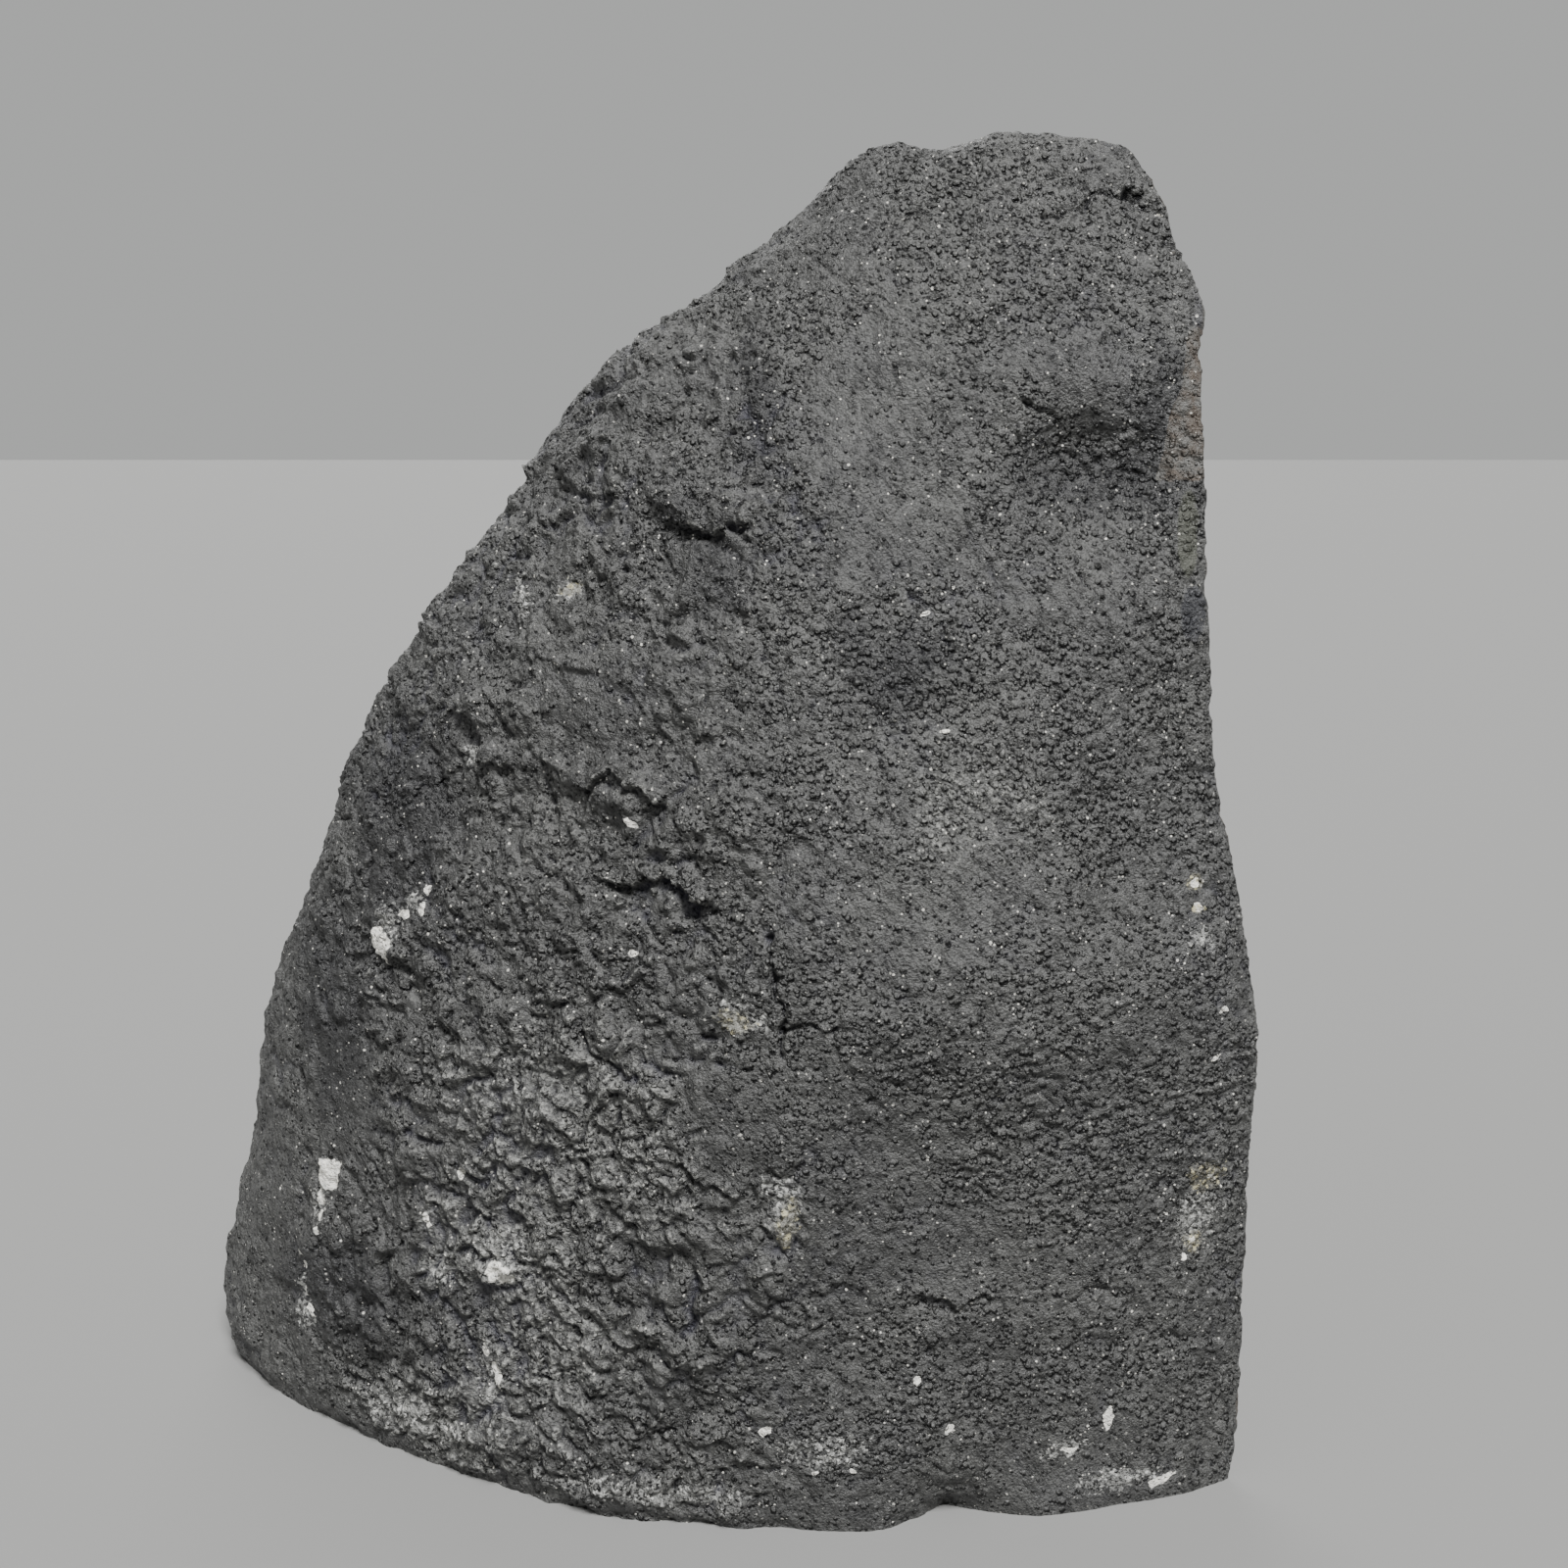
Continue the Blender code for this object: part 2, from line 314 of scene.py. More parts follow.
WHITE_CHIPS = (
    Mark((-51.5, 90), (2.2, 2.4)),
    Mark((-46.5, 95.2), (0.8, 1.2)),
    Mark((-43.5, 97), (0.9, 1.4)),
    Mark((-43, 100.5), (0.5, 1.0)),
    Mark((-63.5, 47), (2.0, 3.2)),
    Mark((-65.3, 42.5), (0.8, 1.4)),
    Mark((-65.2, 39.5), (0.7, 0.8)),
    Mark((-66, 36.6), (1.1, 0.9)),
    Mark((-69.3, 31), (0.8, 0.6)),
    Mark((-69.6, 28.2), (0.5, 0.8)),
    Mark((-69.2, 24), (0.5, 0.6)),
    Mark((-68.6, 21), (0.5, 1.1)),
    Mark((-43, 46), (0.6, 1.0)),
    Mark((69, 17), (0.9, 2.2)),
    Mark((63.5, 11.5), (1.6, 0.6)),
    Mark((79, 4), (2.2, 1)),
    Mark((37.5, 27), (0.7, 0.9)),
    Mark((43, 18), (1, 0.5)),
    Mark((13.5, 17.5), (0.8, 1)),
    Mark((21, 11.5), (1, 0.6)),
    Mark((27.5, 11.5), (1.1, 0.6)),
    Mark((-29.5, 40), (1.6, 1.8)),
    Mark((-30.8, 21.2), (0.8, 2.6)),
    Mark((-32.4, 25.2), (0.9, 1.0)),
    Mark((-7, 115), (0.8, 0.8)),
    Mark((-7, 95.5), (0.8, 0.7)),
    Mark((-37.5, 55.5), (0.7, 1)),
    Mark((37.5, 147), (0.9, 0.5)),
    Mark((40.5, 129.5), (0.8, 0.5)),
    Mark((42.5, 150.5), (0.4, 0.4)),
    Mark((75.5, 208), (0.6, 0.5)),
    Mark((79.5, 104.8), (0.7, 0.6)),
    Mark((79.7, 102.4), (0.8, 0.8)),
    Mark((84.6, 86), (0.6, 0.5)),
    Mark((84.4, 78), (0.5, 0.4)),
    Mark((84.6, 58), (0.5, 0.5)),
    Mark((82.5, 46.5), (0.8, 0.7)),
    Mark((80.5, 44), (0.5, 0.5)),
    Mark((77, 52), (0.4, 0.5)),
)
DUSTY_SPOTS = (
    Mark((-50, 94), (5, 5)),
    Mark((-45, 98), (3, 3)),
    Mark((-65.5, 41), (4, 5)),
    Mark((-70, 22), (2.5, 8)),
    Mark((-29, 42), (10, 8)),
    Mark((-41, 38), (5, 5)),
    Mark((-32, 20), (4, 8)),
    Mark((-46, 8), (18, 6)),
    Mark((-5, 6), (26, 3.5)),
    Mark((23, 15), (12, 5)),
    Mark((-27, 148), (3, 4)),
    Mark((-18.5, 150), (3, 2.5)),
    Mark((-34, 122), (3, 3)),
    Mark((81, 97.5), (2.5, 2.5)),
    Mark((83, 50), (7, 8)),
    Mark((16, 58), (5, 9)),
    Mark((10, 88), (6, 5)),
    Mark((62, 12), (6, 3)),
    Mark((72, 5), (12, 3)),
)
WORN_SPOTS = (
    Mark((-18, 66), (26, 20)),
    Mark((-28, 45), (17, 15)),
    Mark((-22, 30), (16, 12)),
    Mark((42, 118), (14, 12)),
    Mark((-40, 12), (24, 10)),
)
# Dark patches of painted shade, where the front lies in shade.
PAINTED_SHADE_SPOTS = (
    Mark((63, 167), (15, 7)),
    Mark((74, 178), (4, 10)),
    Mark((5, 155), (9, 6)),
    Mark((12, 178), (4, 12)),
    Mark((32, 138), (10, 6)),
    Mark((-50, 110), (12, 18)),
    Mark((-60, 30), (16, 10)),
    Mark((-62, 75), (10, 18)),
)
OCHRE_SPOTS = (
    Mark((79.5, 104.8), (2.0, 1.6)),
    Mark((79.7, 102.2), (1.6, 1.4)),
    Mark((83, 46), (3, 2.5)),
    Mark((84, 58), (4, 4)),
    Mark((17, 55), (2.5, 6)),
    Mark((-18.5, 150), (2, 1.5)),
    Mark((9, 87), (4, 2.5)),
    Mark((3, 200), (3, 2)),
)
# The strip beside the right edge: its lowest and highest z, the x of the edge, and its width below.
STRIP_ENDS, STRIP_EDGE, STRIP_WIDTH = (167.0, 190.0), 79.0, 5.0
GREEN_PATCH = Mark((78.5, 158.5), (2.0, 7.0))
BLUE_PATCH = Mark((79.5, 146.5), (2.5, 4.5))


def to_course(places, course):
    """How far each place is from a broken line, and how far above the line it is there."""
    nearest = np.full(len(places), 1e9)
    above = np.zeros(len(places))
    for start, end in zip(course, course[1:]):
        start, run = np.array(start), np.array(end, float) - start
        share = np.clip((places - start) @ run / (run @ run), 0, 1)
        off = places - start - share[:, None] * run
        distance = np.hypot(off[:, 0], off[:, 1])
        closer = distance < nearest
        nearest[closer] = distance[closer]
        above[closer] = off[closer, 1]
    return nearest, above


def inside(places, marks):
    """1 at the middle of the nearest mark, 0 on its outline and negative outside, down to -1."""
    field = np.full(len(places), -1.0)
    for mark in marks:
        off = (places - mark.place) / mark.reach
        field = np.maximum(field, 1 - np.hypot(off[:, 0], off[:, 1]))
    return field


def front_places(points):
    """(x, z) of each point, shifted a little so that the outlines of features wander."""
    across, up = (
        layered_noise(points, size=5, seed=seed, layers=4, fade=0.55) for seed in (11, 13)
    )
    return np.stack([points[:, 0] + across, points[:, 2] + up], axis=1)


def wandering(points, places, reach=4.5):
    """places, shifted further, for patches whose outlines are loose."""
    shift = [layered_noise(points, size=13, seed=seed, layers=2) for seed in (16, 17)]
    return places + reach * np.stack(shift, axis=1)


LIP = 0.35  # half the height of the step of a ledge


def named_relief(points, places):
    """The rise in millimetres of the cracks, ledges and bosses that can be told apart."""
    relief = np.zeros(len(places))
    uneven = 0.75 + 0.6 * gradient_noise(points, size=2.6, seed=15)
    for crack in CRACKS:
        distance = to_course(places, crack.course)[0]
        relief -= uneven * crack.depth * bell(distance, crack.width * uneven)
    for ledge in LEDGES:
        distance, above = to_course(places, ledge.course)
        over = ramp(above, -LIP, LIP)
        relief += over * ledge.rise * bell(distance, ledge.reach)
        relief -= (1 - over) * uneven * ledge.depth * bell(distance, ledge.reach / 2)
    for boss in BOSSES:
        off = (places - boss.place) / boss.reach
        relief += boss.rise * np.exp(-((off**2).sum(axis=1)) ** 1.5)
    return relief


# ---------------------------------------------------------------- the texture of the surface

# How high or deep each pattern is, in millimetres. The left of the front is lumpy, most of all low
# down, and the rest is flatter and sandy. SCALES lie low on the right, STREAKS all over.
WAVES = 0.45
LOW_LEFT = {"lumps": 2.3, "cobbles": 0.3}
HIGH_LEFT = {"lumps": 1.7, "terraces": 1.0, "cobbles": 0.1}
RIGHT = {"lumps": 0.55, "cobbles": 0.1}
GRAINS, GRAINS_LOST_LEFT = 0.55, 0.25
SCALES, STREAKS = 0.5, 0.35
RIPPLES, RIPPLES_ADDED_LEFT = 0.25, 0.25
# The split face: facets with low steps, lumps, two sizes of grain, and small gas holes.
FACETS, SPLIT_LUMPS, FINE_GRAIN, COARSE_GRAIN, GAS_HOLES = 1.3, 0.6, 0.16, 0.12, 0.8
# What the rim loses everywhere and in nibbles, and the edge of the saw cut everywhere and in bites.
RIM_WEAR, RIM_NIBBLES, CUT_WEAR, CUT_BITES = 0.05, 0.5, 0.2, 0.9
CUT_EDGE_HEIGHT = 1.6
TERRACE_EDGE = (0.36, 0.64)  # the share of a terrace's rise in which it rises
RIM_CALM = 0.7  # the share of the relief that is lost at the rim
AXIS_SEED = 31


def warped(points, size, reach, seed):
    """The points moved about by noise, which bends any pattern that is read there."""
    shift = [gradient_noise(points, size, seed + AXIS_SEED * axis) for axis in range(3)]
    return points + reach * np.stack(shift, axis=1)


def streaks(points, seed):
    """Fine creases that run down to the right across the front, 0 between them and 1 in them."""
    along = np.array(STREAK_RUN)
    reach = points @ along
    squeezed = points - 0.75 * reach[:, None] * along
    crease = 1 - np.abs(gradient_noise(squeezed, 3.2, seed))
    return ramp(crease, 0.86, 0.99) * ramp(gradient_noise(points, 9, seed + 1), -0.1, 0.35)


def steps(values, count):
    """values in terraces whose edges are steep."""
    scaled = values * count
    floor = np.floor(scaled)
    return (floor + ramp(scaled - floor, *TERRACE_EDGE)) / count


def skin_zones(points, loose):
    """(left, low, smooth, grainy, scaly): how much each point has of each, from 0 to 1."""
    across, height = points[:, 0], points[:, 2]
    left = 1 - ramp(across + 7 * gradient_noise(points, size=30, seed=21), 4, 24)
    flank = 1 - ramp(across + 3 * gradient_noise(points, size=20, seed=20), -72, -58)
    low = 1 - ramp(height + 8 * gradient_noise(points, size=25, seed=22), 84, 118)
    scaly = ramp(loose[:, 0], 22, 48) * ramp(loose[:, 1], 18, 45)
    scaly *= 1 - ramp(loose[:, 1], 88, 108)
    smooth = np.maximum(ramp(inside(loose, SMOOTH_SPOTS), -0.5, 0.5), 0.7 * flank)
    rough = ramp(inside(loose, GRAINY_SPOTS), -0.5, 0.5)
    patches = ramp(layered_noise(points * (1, 1, 1.3), size=17, seed=23), -0.45, 0.6)
    grainy = np.clip(0.3 + 0.6 * patches + 0.45 * rough, 0, 1) * (1 - 0.8 * smooth)
    grainy *= 1 - 0.3 * left
    return left, low, smooth, grainy, scaly


def skin_relief(points, loose, facing):
    """(rise in millimetres, graininess from 0 to 1, scaliness from 0 to 1) of the dark skin."""
    left, low, smooth, grainy, scaly = skin_zones(points, loose)
    bent = warped(points, size=5, reach=1.8, seed=24)
    sandy = warped(points, size=1.5, reach=0.3, seed=29) / (1.35, 1.35, 1)
    nearest, second = pebbles(bent / (1.2, 1.2, 1), size=3.4, seed=31)
    rise = {
        "lumps": lumps_of(bent, size=8, seed=25, layers=3) - 0.45,
        "cobbles": ramp(second - nearest, 0.02, 0.5),
        "terraces": steps(layered_noise(bent, size=12, seed=27), 2.2),
    }
    grains = 0.6 - ramp(pebbles(sandy, size=1.2, seed=30)[0], 0.1, 0.9)
    scales = lumps_of(bent * (0.55, 1, 1.3), size=2.4, seed=35, layers=3) - 0.4
    ripples = lumps_of(bent, size=1.9, seed=32, layers=2) - 0.3

    def ground(amounts):
        """Some of the patterns together, each times its own amount."""
        return sum(amount * rise[name] for name, amount in amounts.items())

    bumpy = 1 - 0.7 * smooth
    relief = WAVES * layered_noise(points, size=15, seed=28, layers=2)
    relief += left * low * bumpy * ground(LOW_LEFT)
    relief += left * (1 - low) * bumpy * ground(HIGH_LEFT)
    relief += (1 - left) * bumpy * ground(RIGHT)
    relief += grainy * (GRAINS - GRAINS_LOST_LEFT * left) * grains * (1 - 0.5 * scaly)
    relief += scaly * bumpy * SCALES * scales
    relief += (RIPPLES + RIPPLES_ADDED_LEFT * left) * bumpy * ripples
    relief -= STREAKS * streaks(points, seed=34) * (1 - smooth)
    settled = (0.45 + 0.55 * facing) * (0.4 + 0.6 * ramp(points[:, 2], 0, 7))
    return relief * settled, grainy, scaly


def split_relief(points):
    """The rise of the broken face in millimetres: shallow facets, low steps and small gas holes."""
    bent = warped(points, size=12, reach=3, seed=41)
    relief = FACETS * steps(layered_noise(bent, size=26, seed=42), 2.5)
    relief += SPLIT_LUMPS * lumps_of(bent, size=6, seed=47)
    relief += FINE_GRAIN * gradient_noise(points, size=1.1, seed=43)
    relief += COARSE_GRAIN * gradient_noise(points, size=2.4, seed=44)
    holes = 1 - ramp(pebbles(points, size=3.4, seed=45)[0], 0.1, 0.26)
    holes *= ramp(gradient_noise(points, size=19, seed=46), -0.1, 0.4)
    return relief - GAS_HOLES * holes


def outward(points):
    """The direction from the middle of the body to each point, for wearing its sharp edges down."""
    share = np.clip(points[:, 2:] / SPINE_TOP[2], 0, 1)
    off = points - np.array(SPINE_FOOT) - share * (np.array(SPINE_TOP) - SPINE_FOOT)
    return off / np.linalg.norm(off, axis=1)[:, None]


def erosion(points, rimness):
    """(worn off the sharp edges, chipped off along the saw cut) in millimetres."""
    nibbles = ramp(layered_noise(points, size=6, seed=51), -0.3, 0.8)
    bites = ramp(layered_noise(points * (1, 1, 0.5), size=16, seed=52, layers=2), -0.1, 0.8)
    return (
        rimness * (RIM_WEAR + RIM_NIBBLES * nibbles),
        bell(points[:, 2], CUT_EDGE_HEIGHT) * (CUT_WEAR + CUT_BITES * bites),
    )


def surface(points, calm, split):
    """(rise in millimetres, graininess, scaliness, places, loose places, how much it faces front)

    calm is the smoothed normal of each point, and split is 1 on the split face and 0 elsewhere.
    """
    places = front_places(points)
    loose = wandering(points, places)
    facing = ramp(-calm[:, 1], 0.0, 0.35)
    skin, grainy, scaly = skin_relief(points, loose, facing)
    relief = (skin + facing * named_relief(points, places)) * (1 - split)
    broken = split > 0
    relief[broken] += split[broken] * split_relief(points[broken])
    return relief, grainy, scaly, places, loose, facing


def weather(mesh):
    """Moves the points of the smooth body into the rough surface, and stores fields for colours."""
    points, normals, edges = read(mesh, "co") / MM, read(mesh, "normal"), neighbours(mesh)
    split = ramp(normals @ SPLIT_NORMAL, 0.55, 0.8)
    calm = np.stack([spread(normals[:, axis], edges, 10) for axis in range(3)], axis=1)
    calm /= np.linalg.norm(calm, axis=1)[:, None]
    relief, grainy, scaly, places, loose, facing = by_chunks(surface, points, calm, split)
    rimness = ramp(1 - np.abs(2 * spread(split, edges, 20) - 1), 0.1, 1)
    relief *= 1 - RIM_CALM * rimness
    worn, chipped = by_chunks(erosion, points, rimness)
    rise = relief - SWELL * (1 - rimness) - chipped
    move(mesh, points + rise[:, None] * calm - worn[:, None] * outward(points))

    near = spread(relief, edges, 8)
    front = ramp(facing, 0.05, 0.3) * (1 - split)
    flat = points[:, [0, 2]]
    fields = {
        "bare": split,
        "recess": relief - near,
        "grainy": grainy,
        "scaly": scaly,
        "hollow": near - spread(near, edges, 60),
        "chip": inside(places, WHITE_CHIPS) * front - (1 - front),
        "dust": ramp(inside(places, DUSTY_SPOTS), -0.5, 0.75) * front,
        "worn": ramp(inside(loose, WORN_SPOTS), -0.3, 0.6) * front,
        # painted shade in dark patches where the front lies in shade
        "painted_shade": ramp(inside(loose, PAINTED_SHADE_SPOTS), -0.4, 0.6) * front,
        "ochre": ramp(inside(places, OCHRE_SPOTS), -0.3, 0.6) * front,
        "strip": strip_field(points),
        "green": ramp(inside(flat, (GREEN_PATCH,)), -0.3, 0.4),
        "blue": ramp(inside(flat, (BLUE_PATCH,)), -0.3, 0.4),
    }
    for name, values in fields.items():
        layer = mesh.attributes.new(name, "FLOAT", "POINT")
        layer.data.foreach_set("value", values.astype(np.float32))


def strip_field(points):
    """1 on the brown strip where the skin has come off the upper part of the right edge."""
    low, high = STRIP_ENDS
    height = points[:, 2]
    along = ramp(height, low - 1.5, low + 1) * (1 - ramp(height, high - 3, high + 2))
    width = STRIP_WIDTH * np.clip((high - height) / (high - low), 0, 1)
    inner = STRIP_EDGE - width + 0.8 * gradient_noise(points, 6, 61)
    return along * ramp(points[:, 0], inner - 0.5, inner + 0.5)


def lay_out(stone):
    """Gives the smooth surface a UV map named OFBake, for textures to be baked onto."""
    bpy.context.view_layer.objects.active = stone
    stone.select_set(True)
    stone.data.uv_layers.new(name="OFBake")
    bpy.ops.object.mode_set(mode="EDIT")
    bpy.ops.mesh.select_all(action="SELECT")
    bpy.ops.uv.smart_project(angle_limit=1.15, island_margin=0.004, scale_to_bounds=True)
    bpy.ops.object.mode_set(mode="OBJECT")


def strays(mesh):
    """The points that belong to any but the biggest connected part of the mesh."""
    edges = neighbours(mesh)
    part = np.arange(len(mesh.vertices))
    while True:
        lower = part.copy()
        least = part[edges].min(axis=1)
        np.minimum.at(lower, edges[:, 0], least)
        np.minimum.at(lower, edges[:, 1], least)
        lower = lower[lower]
        if (lower == part).all():
            break
        part = lower
    return np.flatnonzero(part != np.bincount(part).argmax())


SAWN_SLOT = 1


def saw_off(mesh):
    """Cuts the body level at Z = 0, as a saw would, and closes it with one flat face."""
    cut = bmesh.new()
    cut.from_mesh(mesh)
    cut.verts.ensure_lookup_table()
    bmesh.ops.delete(cut, geom=[cut.verts[i] for i in strays(mesh)], context="VERTS")
    geometry = cut.verts[:] + cut.edges[:] + cut.faces[:]
    bmesh.ops.bisect_plane(
        cut, geom=geometry, plane_co=(0, 0, 0), plane_no=(0, 0, 1), clear_inner=True
    )
    for face in cut.faces:
        face.smooth = True
    rim = [edge for edge in cut.edges if edge.is_boundary]
    for edge in rim:
        edge.smooth = False
    for face in bmesh.ops.holes_fill(cut, edges=rim)["faces"]:
        face.material_index = SAWN_SLOT
        face.smooth = False
    cut.to_mesh(mesh)
    cut.free()


# ---------------------------------------------------------------- materials

SPECULAR = 0.3


class Shader:
    """A material's nodes, made one call at a time. Sizes of patterns are in millimetres."""

    def __init__(self, name):
        self.material = bpy.data.materials.new(name)
        self.material.use_nodes = True
        self.tree = self.material.node_tree
        self.surface = self.tree.nodes["Principled BSDF"]
        place = self.tree.nodes.new("ShaderNodeTexCoord").outputs["Object"]
        self.place = self.vector("SCALE", place, scale=1 / MM)
        turn = self.tree.nodes.new("ShaderNodeVectorRotate")
        turn.rotation_type = "Y_AXIS"
        turn.inputs["Angle"].default_value = STREAK_SLOPE
        self.link(self.place, turn.inputs["Vector"])
        self.along_streaks = turn.outputs["Vector"]

    def link(self, source, socket):
        """Joins an output to the socket, or sets the socket to a plain value."""
        if isinstance(source, bpy.types.NodeSocket):
            self.tree.links.new(source, socket)
        else:
            socket.default_value = source

    def vector(self, operation, first, second=None, scale=None):
        """The output of a Vector Math node."""
        node = self.tree.nodes.new("ShaderNodeVectorMath")
        node.operation = operation
        self.link(first, node.inputs[0])
        if second is not None:
            self.link(second, node.inputs[1])
        if scale is not None:
            node.inputs["Scale"].default_value = scale
        return node.outputs[0]

    def math(self, operation, first, second=0.0):
        """The output of a Math node."""
        node = self.tree.nodes.new("ShaderNodeMath")
        node.operation = operation
        self.link(first, node.inputs[0])
        self.link(second, node.inputs[1])
        return node.outputs[0]

    def field(self, name):
        """A field that weather() stored on the mesh."""
        node = self.tree.nodes.new("ShaderNodeAttribute")
        node.attribute_name = name
        return node.outputs["Fac"]

    def noise(self, size, detail=3.0, stretch=(1, 1, 1), place=None):
        """Noise from 0 to 1, drawn out along an axis whose stretch is under 1."""
        node = self.tree.nodes.new("ShaderNodeTexNoise")
        self.link(self.vector("MULTIPLY", place or self.place, stretch), node.inputs["Vector"])
        node.inputs["Scale"].default_value = 1 / size
        node.inputs["Detail"].default_value = detail
        node.inputs["Roughness"].default_value = 0.6
        return node.outputs["Fac"]

    def cells(self, size, bend=0.0, lift=0.0):
        """(distance to the nearest of many scattered seeds, its random colour).

        Both are read lift millimetres towards the light, with the cells bent out of shape.
        """
        place = self.place
        if lift:
            place = self.vector("ADD", place, tuple(lift * part for part in TO_LIGHT))
        if bend:
            wobble = self.tree.nodes.new("ShaderNodeTexNoise")
            self.link(place, wobble.inputs["Vector"])
            wobble.inputs["Scale"].default_value = 1 / (1.5 * size)
            shift = self.vector("SCALE", wobble.outputs["Color"], scale=bend * size)
            place = self.vector("ADD", place, shift)
        node = self.tree.nodes.new("ShaderNodeTexVoronoi")
        self.link(place, node.inputs["Vector"])
        node.inputs["Scale"].default_value = 1 / size
        return node.outputs["Distance"], node.outputs["Color"]

    def ramp(self, value, low, high, start=0.0, end=1.0):
        """start where value is low, end where it is high, and smooth between."""
        node = self.tree.nodes.new("ShaderNodeMapRange")
        node.interpolation_type = "SMOOTHSTEP"
        self.link(value, node.inputs["Value"])
        spans = (("From Min", low), ("From Max", high), ("To Min", start), ("To Max", end))
        for name, bound in spans:
            node.inputs[name].default_value = bound
        return node.outputs["Result"]

    def between(self, first, second, share):
        """The number that lies a share of the way from the first to the second."""
        node = self.tree.nodes.new("ShaderNodeMix")
        self.link(share, node.inputs[0])
        self.link(first, node.inputs[2])
        self.link(second, node.inputs[3])
        return node.outputs[0]

    def mix(self, factor, first, second, blend="MIX"):
        """The colour that lies a share of the way from the first to the second."""
        node = self.tree.nodes.new("ShaderNodeMix")
        node.data_type = "RGBA"
        node.blend_type = blend
        self.link(factor, node.inputs[0])
        for socket, colour in ((node.inputs[6], first), (node.inputs[7], second)):
            self.link(colour if isinstance(colour, bpy.types.NodeSocket) else (*colour, 1), socket)
        return node.outputs[2]

    def specks(self, size, share, radius):
        """1 inside a few of the scattered specks, share of all cells, and 0 elsewhere."""
        distance, colour = self.cells(size)
        chosen = self.math("GREATER_THAN", colour, 1 - share)
        return self.math("MULTIPLY", chosen, self.ramp(distance, radius, radius * 0.6))

    def granules(self, size, share, lift=0.0):
        """Granules on the seeds whose random number is over share: a height from 0 to 1."""
        distance, colour = self.cells(size, 0.5, lift)
        chosen = self.math("GREATER_THAN", colour, share)
        return self.math("MULTIPLY", chosen, self.ramp(distance, 0.52, 0.25))

    def bump(self, height, distance):
        """The normal of a surface that rises by distance millimetres where height is 1."""
        node = self.tree.nodes.new("ShaderNodeBump")
        node.inputs["Distance"].default_value = distance * MM
        self.link(height, node.inputs["Height"])
        return node.outputs["Normal"]

    def finish(self, colour, roughness, normal=None):
        """Puts these on the shader and returns the material."""
        self.link(colour, self.surface.inputs["Base Color"])
        self.link(roughness, self.surface.inputs["Roughness"])
        if normal is not None:
            self.link(normal, self.surface.inputs["Normal"])
        self.surface.inputs["Specular IOR Level"].default_value = SPECULAR
        return self.material


COAL, GREY_COAL = (0.066, 0.066, 0.0645), (0.079, 0.079, 0.076)
# The paler grey of raised tops: partly wear, partly a painted highlight.
WORN_GREY_AND_HIGHLIGHT = (0.260, 0.260, 0.245)
# The near black of painted shade; a violet tint, darker than the skin, that is partly painted
# shade; the rust of real specks.
SHADE_BLACK, VIOLET_AND_SHADE, RUST = (0.008, 0.008, 0.010), (0.040, 0.039, 0.058), (0.080, 0.032, 0.027)
# The chalk white is the colour of the real chips and of the painted glints.
DUST, CHALK_AND_GLINT, OCHRE = (0.42, 0.42, 0.40), (0.72, 0.70, 0.64), (0.36, 0.33, 0.21)
FRESH_GREY, FRESH_DARK = (0.082, 0.080, 0.075), (0.050, 0.049, 0.047)
BROWN, MOSS, SLATE = (0.062, 0.050, 0.040), (0.062, 0.064, 0.052), (0.030, 0.031, 0.037)

# What the skin's colour is multiplied by: (least, most) in its mottling and in its brushed streaks,
# the painted shade on the dark side and the painted highlight on the lit side of a granule, and the
# painted shade at the bottom of a crease.
MOTTLING, BRUSHING = (0.42, 1.72), (0.62, 1.35)
PAINTED_SHADE_SIDE, PAINTED_HIGHLIGHT_SIDE, PAINTED_CREASE_SHADE = 0.06, 2.9, 0.35
SPLIT_MOTTLING = (0.8, 1.85)
# How far towards the light the skin is read a second time, to tell the sides of its granules for
# their painted shade and highlight.
LIFTS = (0.0, 0.42)
FINE_LIFT = 0.7  # the share of it for the fine granules
# The sizes of the granules, and the glints: (size, share of the cells that hold one, radius).
COARSE_GRANULE, FINE_GRANULE = 1.25, 0.7
BIG_GLINTS, SMALL_GLINTS = (1.1, 0.13, 0.27), (0.6, 0.15, 0.35)
SKIN_GLINTS, SPLIT_GLINTS = (0.3, 0.8), 0.15  # how bright they are
GRIT_HEIGHT = 0.5


def scaled_colour(s, colour, factor):
    """The colour times a number that may differ from place to place."""
    grey = s.mix(factor, (0, 0, 0), (1, 1, 1))
    return s.mix(1.0, colour, grey, "MULTIPLY")


def long_creases(s, width, place):
    """0 in thin creases that are drawn out along place's first axis, and 1 between them."""
    off = s.math("SUBTRACT", s.noise(1.9, 4, (0.4, 1, 1), place), 0.5)
    return s.ramp(s.math("ABSOLUTE", off), 0.0, width)


def creases_of(s):
    """Short creases that run down to the right, and level ones where the skin is scaly."""
    slanting = long_creases(s, 0.03, s.along_streaks)
    level = long_creases(s, 0.035, s.place)
    broken_up = s.ramp(s.noise(2.8, 2), 0.48, 0.56)
    return s.between(1.0, s.between(slanting, level, s.field("scaly")), broken_up)


def grit_of(s):
    """(height of the granules from 0 to 1, how much more they rise here than towards the light: the
    painted light and shade of their sides).
    """
    few_coarse = s.ramp(s.field("grainy"), 0.15, 0.9, 0.82, 0.40)
    few_fine = s.ramp(s.field("grainy"), 0.1, 0.8, 0.75, 0.50)
    high, beyond = (
        s.math(
            "MAXIMUM",
            s.granules(COARSE_GRANULE, few_coarse, lift),
            s.granules(FINE_GRANULE, few_fine, lift * FINE_LIFT),
        )
        for lift in LIFTS
    )
    return high, s.math("SUBTRACT", high, beyond)


